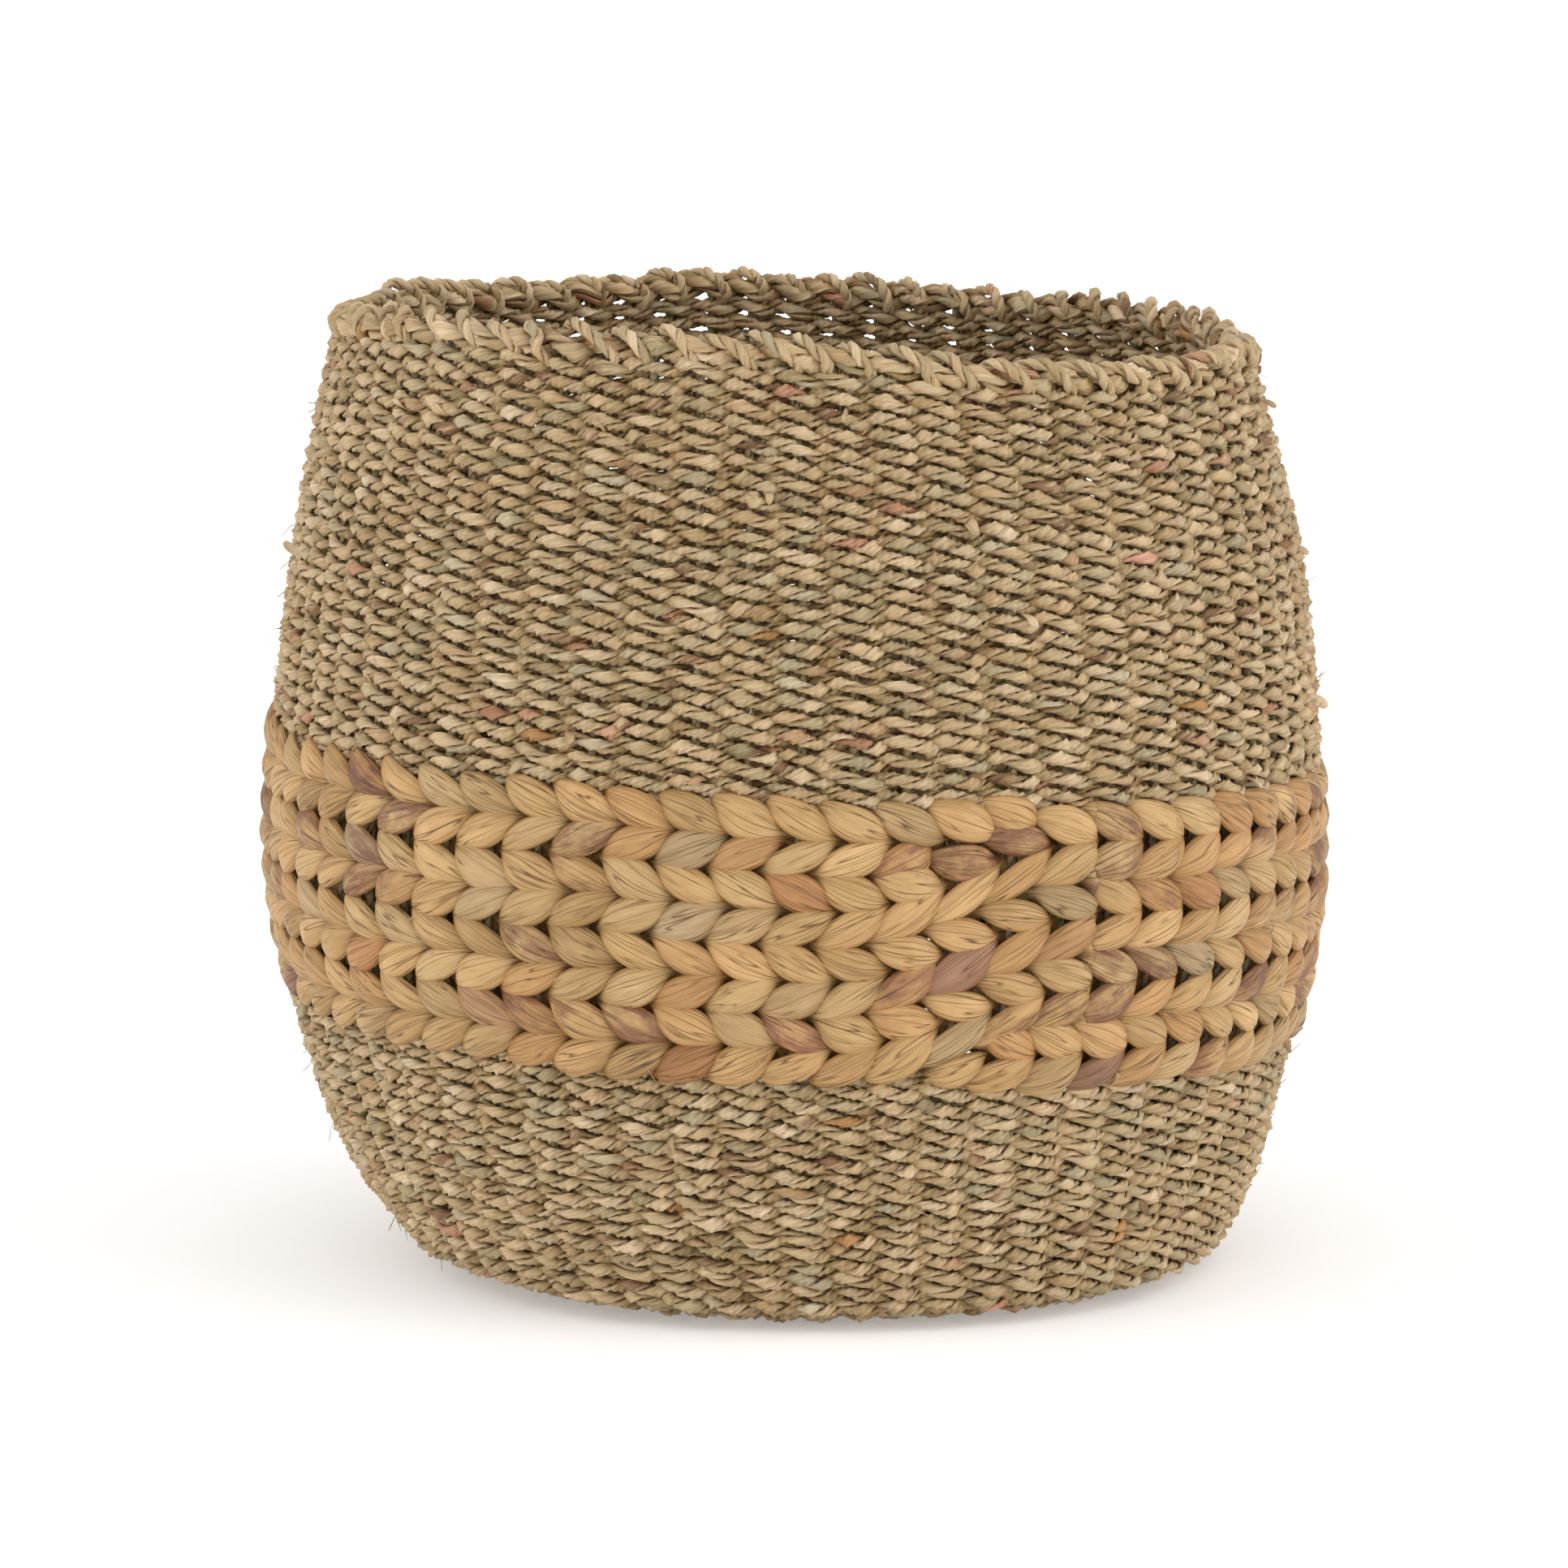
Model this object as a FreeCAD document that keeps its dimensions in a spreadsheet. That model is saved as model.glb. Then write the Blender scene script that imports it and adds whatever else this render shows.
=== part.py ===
import FreeCAD
import Part
import Sketcher
import functools
import math
import os
import re

# A round seagrass storage basket. Stakes run out from the middle of the base, turn up and climb the wall.
# Rounds of cord hold them: seagrass below, a band of water hyacinth, seagrass above, and a border at the rim.
# Millimetres, +Z up, the floor at z = 0, the widest part of the wall centred on the origin.

dimensions = {
    # stakes and cords
    "stakeCount": 64,
    "stakeDiameter": 3.2,
    "cordThickness": 3.4,
    "fitGap": 0.3,
    "edgeShare": 0.27,
    # outline of the stakes: belly, taper to the rim, taper to the foot
    "bellyHeight": 145,
    "bellyRadius": 185.4,
    "rimHeight": 340,
    "rimInset": 23.4,
    "rimPower": 1.8,
    "footInset": 36.6,
    "footPower": 1.55,
    # lean of the wall: the rounds dip towards +X, and the foot stands off the axis
    "leanAngle": 2.7,
    "footShift": 10,
    # rounds of the wall
    "lowerCount": 16,
    "lowerBottom": 7.2,
    "lowerCordHeight": 4.5,
    "bandCount": 8,
    "bandBottom": 93,
    "bandTop": 189,
    "bandThickness": 6,
    "bandCordHeight": 11.5,
    "upperCount": 24,
    "upperTop": 333,
    "upperCordHeight": 5.6,
    # base
    "crossRadius": 37,
    "baseRoundCount": 17,
    "baseRoundPitch": 6.3,
    "baseCordWidth": 5.8,
    # border
    "borderThickness": 4.2,
    "borderCordHeight": 7.2,
    "borderHeight": 336.9,
    "loopRadius": 5.7,
    "loopHeight": 337.4,
}

lowerStakeStops = (1, 2, 4, 7, 11, 16)
bandStakeStops = (2, 4, 5, 7)
upperStakeStops = (1, 5, 9, 13, 17, 21, 24)

doc = FreeCAD.newDocument("SeagrassBasket")
nodes = []


def makeSheet():
    sheet = doc.addObject("Spreadsheet::Sheet", "Dimensions")
    for row, (alias, value) in enumerate(dimensions.items(), start=1):
        sheet.set(f"A{row}", str(value))
        sheet.setAlias(f"A{row}", alias)
    doc.recompute()
    return sheet


sheet = makeSheet()


def bound(text):
    # An expression in which each dimension's name points to its cell.
    def pointed(word):
        return f"Dimensions.{word[0]}" if word[0] in dimensions else word[0]

    return re.sub(r"[A-Za-z]+", pointed, text)


gauge = doc.addObject("App::FeaturePython", "Gauge")
gauge.addProperty("App::PropertyFloat", "Reading")


@functools.lru_cache(maxsize=None)
def number(text):
    # What an expression comes to, read off a spare object that is bound to it for a moment.
    gauge.setExpression("Reading", bound(text))
    gauge.recompute()
    return gauge.Reading


# Places on the wall, as expressions of the sheet's dimensions.


def roundHeight(bottom, top, count, index):
    return f"({bottom} + ({top} - {bottom}) * ({index} - 0.5) / {count})"


def stakeRadius(height, belowBelly):
    if belowBelly:
        return f"(bellyRadius - footInset * ((bellyHeight - {height}) / bellyHeight) ^ footPower)"
    return f"(bellyRadius - rimInset * (({height} - bellyHeight) / (rimHeight - bellyHeight)) ^ rimPower)"


def leanAt(height, lower):
    return f"(leanAngle * {height} / bandBottom)" if lower else "leanAngle"


def shiftAt(height, lower):
    return f"(footShift * (1 - {height} / bandBottom) ^ 2)" if lower else "0"


class Level:
    # One round of the wall: its height, the stakes' radius there, and how the round leans.
    def __init__(self, height):
        isLower = number(height) < number("bandBottom")
        self.height = height
        self.radius = stakeRadius(height, number(height) < number("bellyHeight"))
        self.lean = leanAt(height, isLower)
        self.shift = shiftAt(height, isLower)

    def place(self, piece):
        piece.Placement = FreeCAD.Placement(
            FreeCAD.Vector(0, 0, 0), FreeCAD.Rotation(FreeCAD.Vector(0, 1, 0), 1)
        )
        piece.setExpression("Placement.Base.x", bound(self.shift))
        piece.setExpression("Placement.Base.z", bound(self.height))
        piece.setExpression("Placement.Rotation.Angle", bound(self.lean) + " * 1 deg")

    def point(self, angle):
        spin = FreeCAD.Rotation(FreeCAD.Vector(0, 1, 0), number(self.lean))
        radius = number(self.radius)
        centre = FreeCAD.Vector(number(self.shift), 0, number(self.height))
        return centre + spin.multVec(
            FreeCAD.Vector(radius * math.cos(angle), radius * math.sin(angle), 0)
        )


def level(section, index):
    bottom, top, count = {
        "lower": ("lowerBottom", "bandBottom", "lowerCount"),
        "band": ("bandBottom", "bandTop", "bandCount"),
        "upper": ("bandTop", "upperTop", "upperCount"),
    }[section]
    return Level(roundHeight(bottom, top, count, index))


# Cords: a flattened cord is a ring of rectangular section whose edges are cut back.


def originPlane(body, role):
    return next(plane for plane in body.Origin.OriginFeatures if plane.Role == role)


def newBody(label):
    body = doc.addObject("PartDesign::Body", label)
    body.Label = label
    return body


def newSketch(body, plane):
    sketch = body.newObject("Sketcher::SketchObject", body.Name + "_section")
    sketch.AttachmentSupport = [(originPlane(body, plane), "")]
    sketch.MapMode = "FlatFace"
    return sketch


def addRectangle(sketch, tag, radius, height, width, tall):
    # A rectangle centred at (radius, height): its lower inner corner and its sides are bound to the sheet.
    inner = number(f"{radius} - ({width}) / 2")
    outer = number(f"{radius} + ({width}) / 2")
    low = number(f"{height} - ({tall}) / 2")
    high = number(f"{height} + ({tall}) / 2")
    corners = [
        FreeCAD.Vector(inner, low, 0),
        FreeCAD.Vector(outer, low, 0),
        FreeCAD.Vector(outer, high, 0),
        FreeCAD.Vector(inner, high, 0),
    ]
    first = sketch.GeometryCount
    for side in range(4):
        sketch.addGeometry(Part.LineSegment(corners[side], corners[(side + 1) % 4]), False)
    joints = [
        Sketcher.Constraint("Coincident", first + side, 2, first + (side + 1) % 4, 1) for side in range(4)
    ]
    levels = [Sketcher.Constraint("Horizontal", first), Sketcher.Constraint("Horizontal", first + 2)]
    uprights = [Sketcher.Constraint("Vertical", first + 1), Sketcher.Constraint("Vertical", first + 3)]
    sketch.addConstraint(joints + levels + uprights)
    sizes = {
        "Inner": (Sketcher.Constraint("DistanceX", -1, 1, first, 1, inner), f"{radius} - ({width}) / 2"),
        "Low": (Sketcher.Constraint("DistanceY", -1, 1, first, 1, low), f"{height} - ({tall}) / 2"),
        "Width": (Sketcher.Constraint("DistanceX", first, 1, first, 2, outer - inner), width),
        "Tall": (Sketcher.Constraint("DistanceY", first + 1, 1, first + 1, 2, high - low), tall),
    }
    for name, (constraint, size) in sizes.items():
        index = sketch.addConstraint(constraint)
        sketch.renameConstraint(index, tag + name)
        sketch.setExpression(f"Constraints.{tag}{name}", bound(size))


def revolve(body, sketch, angle=360, axis="V_Axis"):
    revolution = body.newObject("PartDesign::Revolution", body.Name + "_turn")
    revolution.Profile = sketch
    revolution.ReferenceAxis = (sketch, [axis])
    revolution.Angle = angle
    sketch.Visibility = False
    return revolution


def cutEdges(body, revolution, size):
    # The round edges of the rings are chamfered, so that each cord has eight sides.
    doc.recompute([revolution])
    edges = revolution.Shape.Edges
    names = [f"Edge{index + 1}" for index, edge in enumerate(edges) if isinstance(edge.Curve, Part.Circle)]
    chamfer = body.newObject("PartDesign::Chamfer", body.Name + "_edges")
    chamfer.Base = (revolution, names)
    chamfer.setExpression("Size", bound(size))
    return chamfer


def outerRadius(place, thickness):
    return f"({place.radius} + stakeDiameter / 2 + fitGap + {thickness} / 2)"


def innerRadius(place, thickness):
    return f"({place.radius} - stakeDiameter / 2 - fitGap - {thickness} / 2)"


def cordRing(label, place, radius, length, thickness):
    body = newBody(label)
    sketch = newSketch(body, "XZ_Plane")
    addRectangle(sketch, "cord", radius, "0", thickness, length)
    cutEdges(body, revolve(body, sketch), f"{thickness} * edgeShare")
    place.place(body)
    return body


def makeRounds(section, labelStart, count, length, thickness):
    # Each round has a cord outside the stakes, a node of its own, and one inside, in the section's group.
    inside = []
    for index in range(1, count + 1):
        place = level(section, index)
        outer = cordRing(f"{labelStart}_{index:02d}", place, outerRadius(place, thickness), length, thickness)
        nodes.append(outer)
        label = f"{section}_inside_cord_{index:02d}"
        inside.append(cordRing(label, place, innerRadius(place, thickness), length, thickness))
    group = doc.addObject("Part::Compound", f"inner_weavers_{section}")
    group.Label = group.Name
    group.Links = inside
    nodes.append(group)


def makeBaseCross():
    # The plaited middle of the base, where the stakes cross.
    cross = doc.addObject("Part::Cylinder", "base_cross")
    cross.Label = cross.Name
    cross.setExpression("Radius", bound("crossRadius"))
    cross.setExpression("Height", bound("2 * cordThickness + stakeDiameter + 2 * fitGap"))
    cross.setExpression("Placement.Base.x", bound("footShift"))
    nodes.append(cross)


def makeBaseRounds():
    # Rounds of cord above and below the stakes, flat on the floor.
    body = newBody("base_rounds")
    sketch = newSketch(body, "XZ_Plane")
    lowHeight = "cordThickness / 2"
    highHeight = "(cordThickness * 1.5 + stakeDiameter + 2 * fitGap)"
    for index in range(1, dimensions["baseRoundCount"] + 1):
        radius = f"(crossRadius + baseRoundPitch * ({index} - 0.5) + fitGap)"
        addRectangle(sketch, f"low{index}", radius, lowHeight, "baseCordWidth", "cordThickness")
        addRectangle(sketch, f"high{index}", radius, highHeight, "baseCordWidth", "cordThickness")
    cutEdges(body, revolve(body, sketch), "cordThickness * edgeShare")
    body.setExpression("Placement.Base.x", bound("footShift"))
    nodes.append(body)


def stakePath(angle):
    # Out along the base, round the foot, and up the wall between the two cords of each round.
    floorHeight = number("cordThickness + fitGap + stakeDiameter / 2")
    shift = number("footShift")
    first = level("lower", 1).point(angle)
    turnRadius = (first - FreeCAD.Vector(shift, 0, first.z)).Length - number("stakeDiameter")
    path = []
    for radius in (number("crossRadius + 4 * fitGap"), turnRadius):
        path.append(FreeCAD.Vector(shift + radius * math.cos(angle), radius * math.sin(angle), floorHeight))
    path += [level("lower", index).point(angle) for index in lowerStakeStops]
    path += [level("band", index).point(angle) for index in bandStakeStops]
    path += [level("upper", index).point(angle) for index in upperStakeStops]
    return path


def roundCord(path, diameter, side):
    # Straight runs from point to point, each joint square to the mean of its two runs.
    # side keeps the seam straight.
    sections = []
    last = len(path) - 1
    for index, point in enumerate(path):
        along = path[min(index + 1, last)] - path[max(index - 1, 0)]
        turn = FreeCAD.Rotation(side, along.cross(side), along, "ZXY")
        circle = Part.makeCircle(diameter / 2)
        circle.Placement = FreeCAD.Placement(point, turn)
        sections.append(Part.Wire([circle]))
    return Part.makeLoft(sections, True, True)


def makeStakes():
    diameter = number("stakeDiameter")
    cords = []
    for index in range(dimensions["stakeCount"]):
        angle = 2 * math.pi * index / dimensions["stakeCount"]
        side = FreeCAD.Vector(-math.sin(angle), math.cos(angle), 0)
        cords.append(roundCord(stakePath(angle), diameter, side))
    stakes = doc.addObject("Part::Feature", "stakes")
    stakes.Label = stakes.Name
    stakes.Shape = Part.Compound(cords)
    stakes.Placement = FreeCAD.Placement()
    nodes.append(stakes)


def makeBorder():
    # Two thicker cords, outside and inside the stakes' ends.
    place = Level("borderHeight")
    body = newBody("rim_border")
    sketch = newSketch(body, "XZ_Plane")
    for side, radiusOf in (("outer", outerRadius), ("inner", innerRadius)):
        radius = radiusOf(place, "borderThickness")
        addRectangle(sketch, side, radius, "0", "borderThickness", "borderCordHeight")
    cutEdges(body, revolve(body, sketch), "borderThickness * edgeShare")
    place.place(body)
    nodes.append(body)


def makeRimLoops():
    # The stakes' ends turn over in a row of loops that stand above the border.
    place = Level("loopHeight")
    body = newBody("rim_loops")
    sketch = newSketch(body, "XY_Plane")
    centre = FreeCAD.Vector(number(place.radius), -number("loopRadius"), 0)
    circle = Part.Circle(centre, FreeCAD.Vector(0, 0, 1), number("stakeDiameter") / 2)
    sketch.addGeometry(circle, False)
    sizes = {
        "thickness": (Sketcher.Constraint("Radius", 0, circle.Radius), "stakeDiameter / 2"),
        "rimRadius": (Sketcher.Constraint("DistanceX", -1, 1, 0, 3, centre.x), place.radius),
        "reach": (Sketcher.Constraint("DistanceY", 0, 3, -1, 1, -centre.y), "loopRadius"),
    }
    for name, (constraint, size) in sizes.items():
        index = sketch.addConstraint(constraint)
        sketch.renameConstraint(index, name)
        sketch.setExpression(f"Constraints.{name}", bound(size))
    turn = revolve(body, sketch, 180, "H_Axis")
    doc.recompute()
    if turn.Shape.CenterOfMass.z < 0:
        turn.Reversed = True
    pattern = body.newObject("PartDesign::PolarPattern", "rim_loops_pattern")
    pattern.Originals = [turn]
    pattern.Axis = (sketch, ["N_Axis"])
    pattern.Angle = 360
    pattern.setExpression("Occurrences", bound("stakeCount"))
    body.Tip = pattern
    place.place(body)
    nodes.append(body)


def checkDocument():
    doc.recompute()
    for item in doc.Objects:
        if "Invalid" in item.State or "Error" in item.State:
            raise RuntimeError(f"{item.Label} failed: {item.State}")
    for node in nodes:
        if node.Shape.isNull() or not node.Shape.isValid():
            raise RuntimeError(f"{node.Label} has no valid shape")


def writeParts():
    os.makedirs("parts", exist_ok=True)
    for node in nodes:
        node.Shape.exportStep(f"parts/{node.Label}.step")
        box = node.Shape.BoundBox
        print(
            f"{node.Label}: {len(node.Shape.Solids)} solids, {node.Shape.Volume / 1000:.1f} cm3,"
            f" z {box.ZMin:.1f} to {box.ZMax:.1f}, x {box.XMin:.1f} to {box.XMax:.1f}"
        )


makeBaseCross()
makeBaseRounds()
makeRounds("lower", "lower_course", dimensions["lowerCount"], "lowerCordHeight", "cordThickness")
makeRounds("band", "hyacinth_row", dimensions["bandCount"], "bandCordHeight", "bandThickness")
makeRounds("upper", "upper_course", dimensions["upperCount"], "upperCordHeight", "cordThickness")
makeStakes()
makeBorder()
makeRimLoops()
checkDocument()
writeParts()
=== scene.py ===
import math
import bpy
import numpy as np
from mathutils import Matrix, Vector


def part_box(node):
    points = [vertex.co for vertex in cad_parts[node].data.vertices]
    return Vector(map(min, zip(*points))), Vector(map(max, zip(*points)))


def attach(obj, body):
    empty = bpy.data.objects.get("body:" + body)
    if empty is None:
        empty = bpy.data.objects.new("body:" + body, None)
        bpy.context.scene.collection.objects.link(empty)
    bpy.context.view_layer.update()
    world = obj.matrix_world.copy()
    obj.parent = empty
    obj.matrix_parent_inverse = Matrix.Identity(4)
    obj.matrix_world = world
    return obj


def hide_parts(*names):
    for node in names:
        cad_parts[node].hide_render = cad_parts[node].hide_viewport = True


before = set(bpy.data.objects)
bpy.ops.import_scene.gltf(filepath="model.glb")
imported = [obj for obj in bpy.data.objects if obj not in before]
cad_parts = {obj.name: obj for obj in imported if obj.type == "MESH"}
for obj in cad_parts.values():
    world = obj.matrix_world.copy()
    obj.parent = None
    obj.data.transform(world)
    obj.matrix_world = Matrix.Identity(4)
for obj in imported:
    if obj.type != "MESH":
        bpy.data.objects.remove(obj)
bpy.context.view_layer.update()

# A twined seagrass basket: every round of the wall is a pair of twisted cords that cross between the stakes.
# Sizes in the dictionaries are in mm unless a note says otherwise; everything that Blender gets is in metres.

mm = 0.001
fullTurn = 2 * math.pi

# the sizes that the frame's rings were made with
frameSizes = {
    "stakes": 64,
    "stakeDiameter": 3.2,
    "fitGap": 0.3,
    "grassThickness": 3.4,
    "bandThickness": 6.0,
    "lowerHeight": 4.5,
    "bandHeight": 11.5,
    "upperHeight": 5.6,
    "borderThickness": 4.2,
    "borderHeight": 7.2,
    "lowerCount": 16,
    "bandCount": 8,
    "upperCount": 24,
    "baseCount": 17,
}
stakeCount = frameSizes["stakes"]
lowerNodes = [f"lower_course_{n:02d}" for n in range(1, frameSizes["lowerCount"] + 1)]
bandNodes = [f"hyacinth_row_{n:02d}" for n in range(1, frameSizes["bandCount"] + 1)]
upperNodes = [f"upper_course_{n:02d}" for n in range(1, frameSizes["upperCount"] + 1)]


def ringOf(node, cordHeight, cordThickness):
    # where a round runs, read from its node's box
    low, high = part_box(node)
    outer = (high[1] - low[1]) / 2
    wallGap = frameSizes["stakeDiameter"] / 2 + frameSizes["fitGap"] + cordThickness
    return {
        "x": (low[0] + high[0]) / 2,
        "z": (low[2] + high[2]) / 2,
        "lean": math.asin((high[2] - low[2] - cordHeight * mm) / (2 * outer)),
        "radius": outer - wallGap * mm,   # the stakes' own line
        "flare": 0.0,                     # how far the wall leans from upright here
    }


lowerRings = [ringOf(n, frameSizes["lowerHeight"], frameSizes["grassThickness"]) for n in lowerNodes]
bandRings = [ringOf(n, frameSizes["bandHeight"], frameSizes["bandThickness"]) for n in bandNodes]
upperRings = [ringOf(n, frameSizes["upperHeight"], frameSizes["grassThickness"]) for n in upperNodes]
borderRing = ringOf("rim_border", frameSizes["borderHeight"], frameSizes["borderThickness"])
wallRings = lowerRings + bandRings + upperRings + [borderRing]
for below, here, above in zip([wallRings[0]] + wallRings, wallRings, wallRings[1:] + [wallRings[-1]]):
    here["flare"] = math.atan2(above["radius"] - below["radius"], above["z"] - below["z"])


def ringBetween(first, second):
    return {key: (first[key] + second[key]) / 2 for key in first}


def makeBaseRings():
    # flat rounds under the floor of the basket: out points down, up points away from the middle
    crossLow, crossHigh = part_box("base_cross")
    low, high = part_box("base_rounds")
    inner = (crossHigh[0] - crossLow[0]) / 2
    pitch = ((high[1] - low[1]) / 2 - inner) / frameSizes["baseCount"]
    rings = [
        {
            "x": (low[0] + high[0]) / 2,
            "z": (low[2] + high[2]) / 2,
            "lean": 0.0,
            "radius": inner + pitch * (n + 0.5),
            "flare": math.pi / 2,
        }
        for n in range(frameSizes["baseCount"])
    ]
    # one more round closes the corner between the base and the wall
    return rings + [ringBetween(rings[-1], lowerRings[0])]


baseRings = makeBaseRings()

# how the soft wall strays from true rings: each bump has a middle and a width in degrees, and a rise
softWall = {
    "sagFrom": 0.20,       # metres up, where the rim's rise and fall begins
    "sagTo": 0.345,
    "bumps": [
        (-52, 27, -7.0), (0, 14, -2.0), (86, 22, 4.0), (132, 20, -3.5), (42, 16, 3.0), (-112, 16, -1.0),
        (180, 26, -9.0),
    ],
    "square": 0.016,       # the wall is this much flatter at the front, back and sides than a true ring
    "swell": 1.1,
    "swellWaves": [(2, 9, 0, 1.0), (3, -14, 1.3, 0.7)],
    "rowWave": 0.45,
    "rowWaves": [(5, 31, 0, 1.0), (9, -47, 1.1, 1.0), (14, 62, 0.4, 0.8)],
    "lean": 3.0,           # the wall above the band sits this far towards +X
    "mouthDraw": 2.5,      # the rim is drawn in by this much, and back towards -X
    "footTuck": 7.5,       # the lowest rounds are pulled in by this much
    "footLift": 4.5,       # the base's edge stands off the floor at both sides
    # where each of these begins and how long it takes to reach its full size, in metres
    "leanRange": (0.09, 0.12),
    "mouthRange": (0.27, 0.06),
    "footRange": (0.008, 0.045),
    "edgeRange": (0.07, 0.07),
    "swellRange": (0, 0.04),
    "rowRange": (0.01, 0.03),
}


def rampUp(value, start, length):
    return np.clip((value - start) / length, 0, 1)


def sag(angle, height):
    # the rim's rise and fall, fading out down the wall
    share = rampUp(height, softWall["sagFrom"], softWall["sagTo"] - softWall["sagFrom"]) ** 1.4
    total = 0
    for middle, width, rise in softWall["bumps"]:
        away = (np.degrees(angle) - middle + 180) % 360 - 180
        total = total + rise * np.exp(-((away / width) ** 2))
    return total * share * mm


def wavesAt(angle, height, waves):
    # each wave has its beats round the basket, its radians per metre of height, its start and its size
    return sum(size * np.sin(beats * angle + climb * height + start) for beats, climb, start, size in waves)


def swell(angle, height):
    # shallow hand-made bulges of the wall
    wave = wavesAt(angle, height, softWall["swellWaves"])
    return wave * softWall["swell"] * mm * rampUp(height, *softWall["swellRange"])


def rowWave(angle, height):
    # neighbouring rounds rise and fall together
    wave = wavesAt(angle, height, softWall["rowWaves"])
    return wave * softWall["rowWave"] * mm * rampUp(height, *softWall["rowRange"])


def onRing(ring, angle, out, up):
    # out is away from the stakes' line, up is along the wall; both in metres
    cosFlare, sinFlare = math.cos(ring["flare"]), math.sin(ring["flare"])
    height = ring["z"]
    mouth = softWall["mouthDraw"] * mm * rampUp(height, *softWall["mouthRange"])
    foot = 1 - rampUp(height, *softWall["footRange"])
    edge = rampUp(ring["radius"], *softWall["edgeRange"]) ** 2 * foot
    atSides = np.cos(angle) ** 2
    shrink = softWall["footTuck"] * mm * edge * foot * (0.35 + 0.65 * atSides) + mouth
    flatter = 1 + softWall["square"] * (1 - np.cos(4 * angle))
    radius = ring["radius"] * flatter + out * cosFlare + up * sinFlare + swell(angle, height) - shrink
    lift = -out * sinFlare + up * cosFlare + sag(angle, height) + rowWave(angle, height)
    lift = lift + softWall["footLift"] * mm * edge * atSides * (0.65 - 0.35 * np.cos(angle))
    cosLean, sinLean = math.cos(ring["lean"]), math.sin(ring["lean"])
    along = radius * np.cos(angle)
    leanShift = softWall["lean"] * mm * rampUp(height, *softWall["leanRange"]) - mouth
    x = ring["x"] + leanShift + along * cosLean + lift * sinLean
    y = radius * np.sin(angle)
    z = ring["z"] - along * sinLean + lift * cosLean
    return np.stack([x, y, z], axis=-1)


def deselectAll():
    bpy.ops.object.select_all(action="DESELECT")


templates = {}


def numberSpots(mesh, rounds, sides, closed, tube):
    # which round and which side of the strand each vertex of a template belongs to
    spots = np.zeros(len(mesh.vertices) * 3, np.float32)
    mesh.vertices.foreach_get("co", spots)
    spots = spots.reshape(-1, 3)
    if closed:
        turn = np.arctan2(spots[:, 1], spots[:, 0])
        around = np.arctan2(spots[:, 2], np.hypot(spots[:, 0], spots[:, 1]) - tube["ring"])
        step = np.round(turn / fullTurn * rounds).astype(int) % rounds
        firstSide = around[np.argmin(np.abs(turn))]
    else:
        around = np.arctan2(-spots[:, 1], spots[:, 0])
        step = np.round(spots[:, 2] / tube["step"]).astype(int)
        firstSide = around[np.argmin(spots[:, 2])]
    side = np.round((around - firstSide) / fullTurn * sides).astype(int) % sides
    return step * sides + side


def creaseFolds(mesh, order, sides):
    # a folded leaf keeps two crisp lengthwise edges
    ends = np.zeros(len(mesh.edges) * 2, np.int32)
    mesh.edges.foreach_get("vertices", ends)
    ends = order[ends].reshape(-1, 2) % sides
    crisp = (ends[:, 0] == ends[:, 1]) & np.isin(ends[:, 0], (1, 1 + sides // 2))
    mesh.attributes.new("sharp_edge", "BOOLEAN", "EDGE").data.foreach_set("value", crisp)


def strandTemplate(rounds, sides, closed, folded):
    # a plain tube, modelled once for each fineness: a circle spun into a ring, or extruded into a rod
    key = (rounds, sides, closed, folded)
    if key in templates:
        return templates[key]
    tube = {"radius": 0.002, "ring": 0.2, "step": 0.001}
    deselectAll()
    if closed:
        bpy.ops.mesh.primitive_circle_add(
            vertices=sides, radius=tube["radius"], location=(tube["ring"], 0, 0), rotation=(math.pi / 2, 0, 0)
        )
    else:
        bpy.ops.mesh.primitive_circle_add(vertices=sides, radius=tube["radius"], fill_type="NGON")
    blank = bpy.context.object
    bpy.ops.object.transform_apply(location=True, rotation=True, scale=True)
    bpy.ops.object.mode_set(mode="EDIT")
    bpy.ops.mesh.select_all(action="SELECT")
    if closed:
        bpy.ops.mesh.spin(steps=rounds, angle=fullTurn, center=(0, 0, 0), axis=(0, 0, 1))
        bpy.ops.mesh.select_all(action="SELECT")
        bpy.ops.mesh.remove_doubles(threshold=0.00001)
    else:
        for step in range(rounds - 1):
            bpy.ops.mesh.extrude_region_move(TRANSFORM_OT_translate={"value": (0, 0, tube["step"])})
        bpy.ops.mesh.select_all(action="SELECT")
    bpy.ops.mesh.normals_make_consistent(inside=False)
    bpy.ops.object.mode_set(mode="OBJECT")
    order = numberSpots(blank.data, rounds, sides, closed, tube)
    if folded:
        creaseFolds(blank.data, order, sides)
    templates[key] = (blank.data.copy(), order)
    bpy.data.objects.remove(blank)
    return templates[key]


def dressMesh(mesh, points, fibre, leaf):
    mesh.vertices.foreach_set("co", points.reshape(-1).astype(np.float32))
    for name, values in (("fibre", fibre), ("leaf", leaf)):
        layer = mesh.attributes.new(name, "FLOAT_VECTOR", "POINT")
        layer.data.foreach_set("vector", values.reshape(-1).astype(np.float32))
    mesh.update()


def layStrand(points, fibre, leaf, closed=True, folded=True):
    # each point of a copied template is moved to its place on the strand
    rounds, sides = points.shape[:2]
    template, order = strandTemplate(rounds, sides, closed, folded)
    strand = bpy.data.objects.new("strand", template.copy())
    bpy.context.collection.objects.link(strand)
    dressMesh(strand.data, *(values.reshape(-1, 3)[order] for values in (points, fibre, leaf)))
    return strand


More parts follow.
